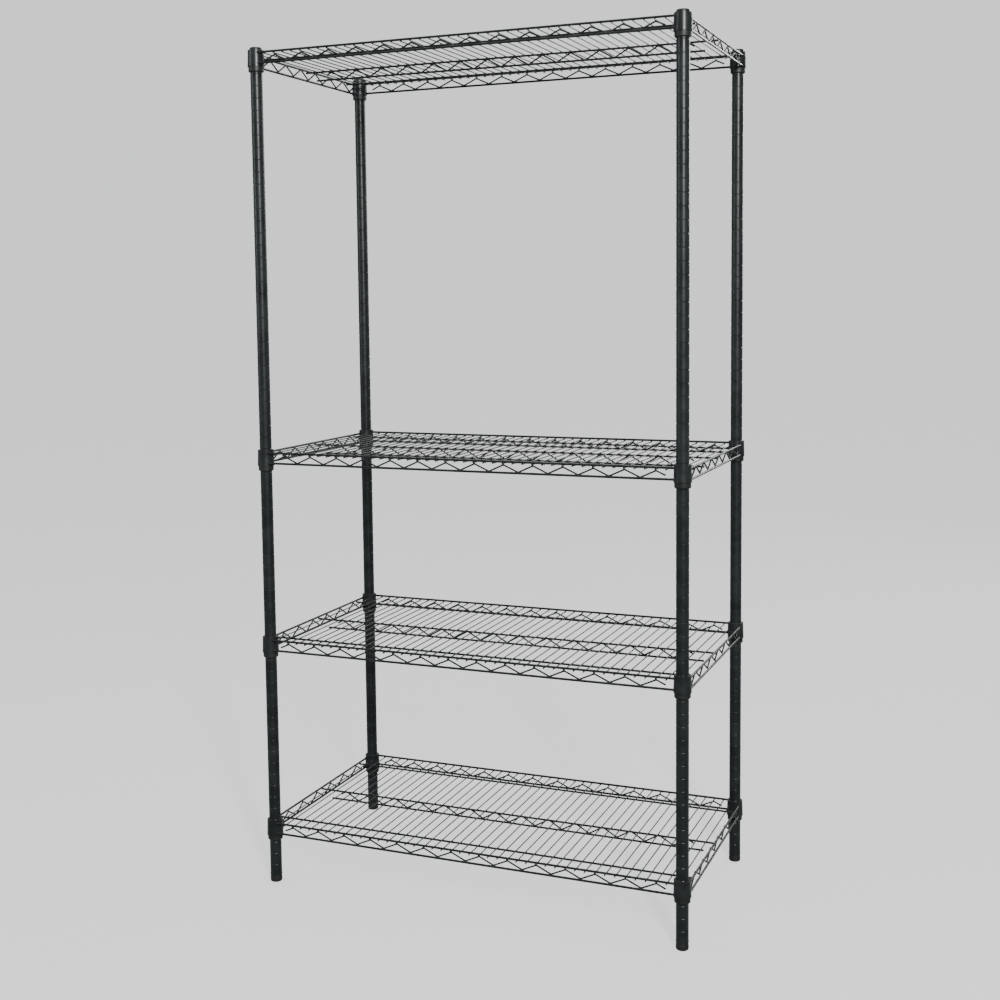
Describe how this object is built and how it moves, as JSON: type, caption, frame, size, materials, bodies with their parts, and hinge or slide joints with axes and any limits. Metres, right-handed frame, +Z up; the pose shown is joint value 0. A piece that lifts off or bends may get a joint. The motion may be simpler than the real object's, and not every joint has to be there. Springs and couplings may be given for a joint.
{
  "type": "wire shelving rack",
  "caption": "Free-standing black wire shelving rack: grooved tube posts carry welded wire shelves on tapered split sleeves, with push-in caps and levelling feet.",
  "frame": {"origin": "on the floor, under the middle of the four posts", "axes": "+X along the shelves to the right, +Y to the back, +Z up the posts"},
  "size_m": [0.9508, 0.4976, 1.797],
  "materials": {
    "post_coat": "satin black powder coat on steel tube",
    "wire_coat": "satin black powder coat on steel wire",
    "collar_coat": "satin black powder coat on pressed steel",
    "sleeve_plastic": "moulded black plastic",
    "black_plastic": "moulded black plastic, slightly satin",
    "foot_plastic": "moulded black plastic, scuffed underneath",
    "zinc_stud": "zinc-plated threaded stud"
  },
  "bodies": {
    "root": {"post_front_left": "post_coat", "post_front_right": "post_coat", "post_rear_right": "post_coat", "post_rear_left": "post_coat", "cap_front_left": "black_plastic", "cap_front_right": "black_plastic", "cap_rear_right": "black_plastic", "cap_rear_left": "black_plastic", "insert_front_left": "black_plastic", "insert_front_right": "black_plastic", "insert_rear_right": "black_plastic", "insert_rear_left": "black_plastic", "shelf_1_sleeves": "sleeve_plastic", "shelf_2_sleeves": "sleeve_plastic", "shelf_3_sleeves": "sleeve_plastic", "shelf_4_sleeves": "sleeve_plastic"},
    "shelf_1": {"shelf_1_collars": "collar_coat", "shelf_1_long_rails": "wire_coat", "shelf_1_side_rails": "wire_coat", "shelf_1_long_zigzags": "wire_coat", "shelf_1_side_zigzags": "wire_coat", "shelf_1_inner_wires": "wire_coat", "shelf_1_rib_rails": "wire_coat", "shelf_1_rib_zigzag": "wire_coat", "shelf_1_deck_wires": "wire_coat"},
    "shelf_2": {"shelf_2_collars": "collar_coat", "shelf_2_long_rails": "wire_coat", "shelf_2_side_rails": "wire_coat", "shelf_2_long_zigzags": "wire_coat", "shelf_2_side_zigzags": "wire_coat", "shelf_2_inner_wires": "wire_coat", "shelf_2_rib_rails": "wire_coat", "shelf_2_rib_zigzag": "wire_coat", "shelf_2_deck_wires": "wire_coat"},
    "shelf_3": {"shelf_3_collars": "collar_coat", "shelf_3_long_rails": "wire_coat", "shelf_3_side_rails": "wire_coat", "shelf_3_long_zigzags": "wire_coat", "shelf_3_side_zigzags": "wire_coat", "shelf_3_inner_wires": "wire_coat", "shelf_3_rib_rails": "wire_coat", "shelf_3_rib_zigzag": "wire_coat", "shelf_3_deck_wires": "wire_coat"},
    "shelf_4": {"shelf_4_collars": "collar_coat", "shelf_4_long_rails": "wire_coat", "shelf_4_side_rails": "wire_coat", "shelf_4_long_zigzags": "wire_coat", "shelf_4_side_zigzags": "wire_coat", "shelf_4_inner_wires": "wire_coat", "shelf_4_rib_rails": "wire_coat", "shelf_4_rib_zigzag": "wire_coat", "shelf_4_deck_wires": "wire_coat"},
    "leveller_front_left": {"foot_front_left": "foot_plastic", "stud_front_left": "zinc_stud"},
    "leveller_front_right": {"foot_front_right": "foot_plastic", "stud_front_right": "zinc_stud"},
    "leveller_rear_right": {"foot_rear_right": "foot_plastic", "stud_rear_right": "zinc_stud"},
    "leveller_rear_left": {"foot_rear_left": "foot_plastic", "stud_rear_left": "zinc_stud"}
  },
  "joints": [
    {"name": "shelf_1_lift", "type": "slide", "parent": "root", "child": "shelf_1", "axis": [0, 0, 1], "range_m": [0, 0.34]},
    {"name": "shelf_2_lift", "type": "slide", "parent": "root", "child": "shelf_2", "axis": [0, 0, 1], "range_m": [0, 0.34]},
    {"name": "shelf_3_lift", "type": "slide", "parent": "root", "child": "shelf_3", "axis": [0, 0, 1], "range_m": [0, 0.78]},
    {"name": "shelf_4_lift", "type": "slide", "parent": "root", "child": "shelf_4", "axis": [0, 0, 1], "range_m": [0, 0.1]},
    {"name": "leveller_front_left_extend", "type": "slide", "parent": "root", "child": "leveller_front_left", "axis": [0, 0, 1], "range_m": [-0.02, 0]},
    {"name": "leveller_front_right_extend", "type": "slide", "parent": "root", "child": "leveller_front_right", "axis": [0, 0, 1], "range_m": [-0.02, 0]},
    {"name": "leveller_rear_right_extend", "type": "slide", "parent": "root", "child": "leveller_rear_right", "axis": [0, 0, 1], "range_m": [-0.02, 0]},
    {"name": "leveller_rear_left_extend", "type": "slide", "parent": "root", "child": "leveller_rear_left", "axis": [0, 0, 1], "range_m": [-0.02, 0]}
  ]
}
